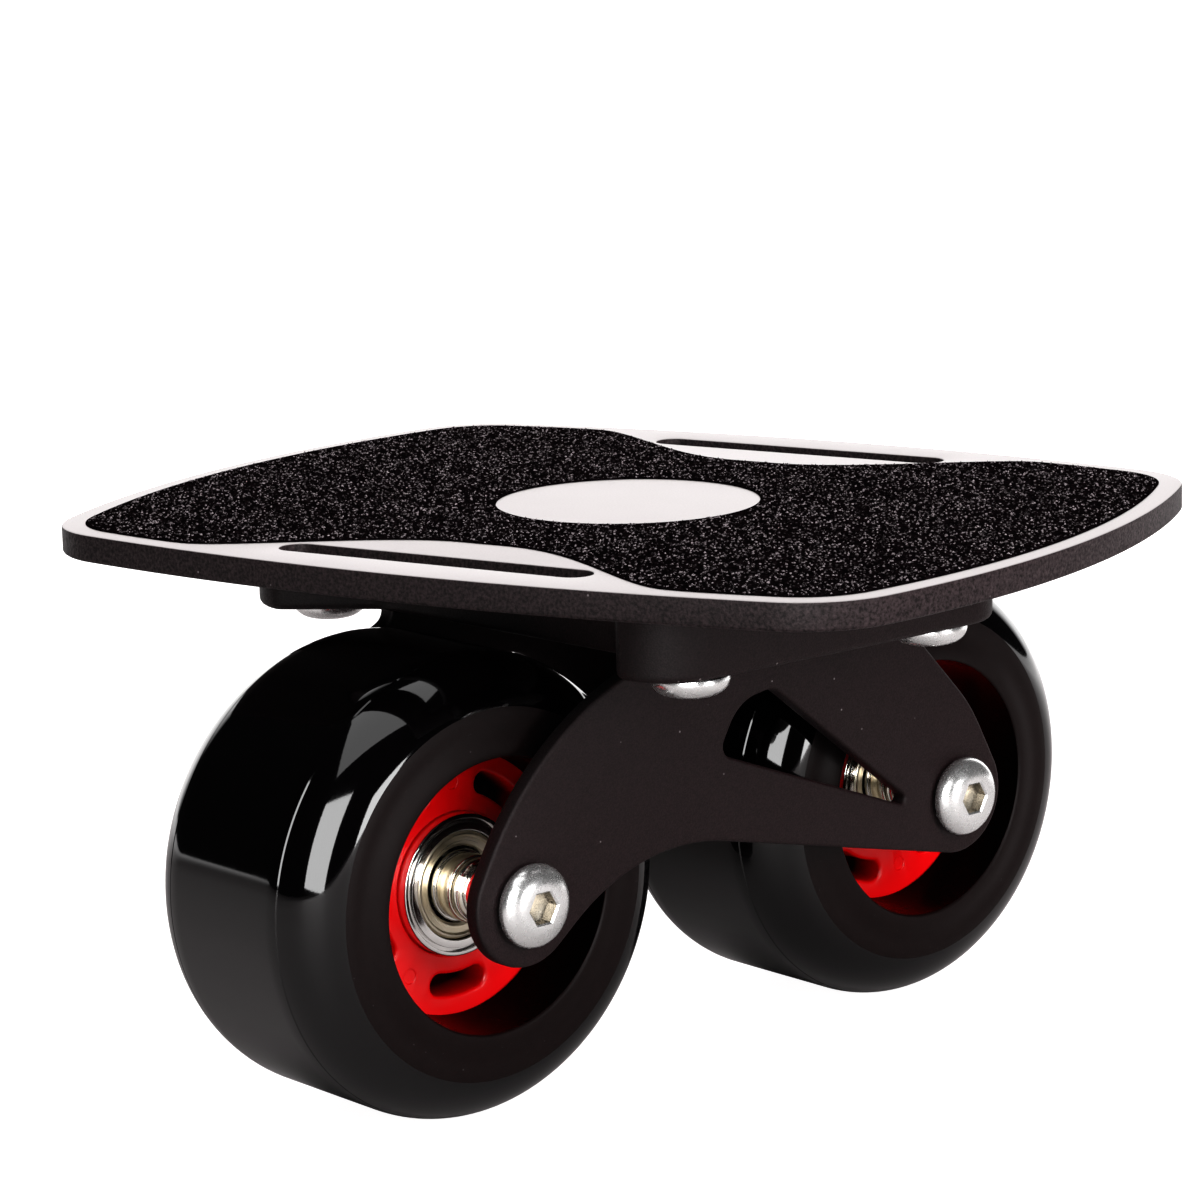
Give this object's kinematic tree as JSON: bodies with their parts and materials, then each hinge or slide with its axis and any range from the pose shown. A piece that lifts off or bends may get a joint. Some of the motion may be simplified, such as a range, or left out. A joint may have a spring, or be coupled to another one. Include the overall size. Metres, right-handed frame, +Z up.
{
  "type": "split skateboard",
  "caption": "One skate of a split skateboard: waisted grip tape on a bowed metal foot plate, short two-wheel truck with windowed side plates, glossy black wheels on red hubs.",
  "frame": {"origin": "on the ground, under the middle of the wheelbase", "axes": "+X the way the skate rolls, +Y along the axles from the bolt heads to the nuts, +Z up; the foot plate's long axis is turned 16.66 degrees from +Y towards -X"},
  "size_m": [0.1642, 0.1678, 0.0878],
  "materials": {
    "black_urethane": "cast urethane, glossy",
    "red_nylon": "moulded, semi-gloss",
    "bearing_steel": "ground and polished",
    "ball_steel": "polished",
    "shield_steel": "pressed sheet, satin",
    "spacer_steel": "turned and polished",
    "bright_zinc": "bright zinc plate",
    "black_powder_coat": "fine-textured powder coat, matt",
    "satin_aluminium": "satin top, sand-textured dark edge",
    "black_grit": "coarse abrasive grit"
  },
  "bodies": {
    "truck": {"foot_plate": "satin_aluminium", "grip_tape": "black_grit", "left_axle_bolt": "bright_zinc", "left_axle_washer": "bright_zinc", "left_bearing_sleeve": "spacer_steel", "left_collar_far": "spacer_steel", "left_collar_near": "spacer_steel", "left_far_bearing_inner_race": "bearing_steel", "left_lock_nut": "bright_zinc", "left_near_bearing_inner_race": "bearing_steel", "left_spacer_far": "spacer_steel", "left_spacer_near": "spacer_steel", "plate_screw_1": "bright_zinc", "plate_screw_2": "bright_zinc", "plate_screw_3": "bright_zinc", "plate_screw_4": "bright_zinc", "right_axle_bolt": "bright_zinc", "right_axle_washer": "bright_zinc", "right_bearing_sleeve": "spacer_steel", "right_collar_far": "spacer_steel", "right_collar_near": "spacer_steel", "right_far_bearing_inner_race": "bearing_steel", "right_lock_nut": "bright_zinc", "right_near_bearing_inner_race": "bearing_steel", "right_spacer_far": "spacer_steel", "right_spacer_near": "spacer_steel", "side_plate_far": "black_powder_coat", "side_plate_near": "black_powder_coat", "truck_flange": "black_powder_coat"},
    "left_wheel": {"left_far_bearing_outer_race": "bearing_steel", "left_far_bearing_shield_inside": "shield_steel", "left_far_bearing_shield_outside": "shield_steel", "left_hub": "red_nylon", "left_near_bearing_outer_race": "bearing_steel", "left_near_bearing_shield_inside": "shield_steel", "left_near_bearing_shield_outside": "shield_steel", "left_tyre": "black_urethane"},
    "left_near_cage": {"left_near_bearing_ball_cage": "ball_steel"},
    "left_far_cage": {"left_far_bearing_ball_cage": "ball_steel"},
    "right_wheel": {"right_far_bearing_outer_race": "bearing_steel", "right_far_bearing_shield_inside": "shield_steel", "right_far_bearing_shield_outside": "shield_steel", "right_hub": "red_nylon", "right_near_bearing_outer_race": "bearing_steel", "right_near_bearing_shield_inside": "shield_steel", "right_near_bearing_shield_outside": "shield_steel", "right_tyre": "black_urethane"},
    "right_near_cage": {"right_near_bearing_ball_cage": "ball_steel"},
    "right_far_cage": {"right_far_bearing_ball_cage": "ball_steel"}
  },
  "joints": [
    {"name": "left_wheel_spin", "type": "hinge", "parent": "truck", "child": "left_wheel", "pos_m": [-0.046, 0, 0.036], "axis": [0, 1, 0], "continuous": true},
    {"name": "left_near_cage_roll", "type": "hinge", "parent": "truck", "child": "left_near_cage", "pos_m": [-0.046, 0, 0.036], "axis": [0, 1, 0], "continuous": true},
    {"name": "left_far_cage_roll", "type": "hinge", "parent": "truck", "child": "left_far_cage", "pos_m": [-0.046, 0, 0.036], "axis": [0, 1, 0], "continuous": true},
    {"name": "right_wheel_spin", "type": "hinge", "parent": "truck", "child": "right_wheel", "pos_m": [0.046, 0, 0.036], "axis": [0, 1, 0], "continuous": true},
    {"name": "right_near_cage_roll", "type": "hinge", "parent": "truck", "child": "right_near_cage", "pos_m": [0.046, 0, 0.036], "axis": [0, 1, 0], "continuous": true},
    {"name": "right_far_cage_roll", "type": "hinge", "parent": "truck", "child": "right_far_cage", "pos_m": [0.046, 0, 0.036], "axis": [0, 1, 0], "continuous": true}
  ],
  "couplings": [
    {"joint": "left_near_cage_roll", "follows": "left_wheel_spin", "ratio": 0.6323},
    {"joint": "left_far_cage_roll", "follows": "left_wheel_spin", "ratio": 0.6323},
    {"joint": "right_near_cage_roll", "follows": "right_wheel_spin", "ratio": 0.6323},
    {"joint": "right_far_cage_roll", "follows": "right_wheel_spin", "ratio": 0.6323}
  ]
}
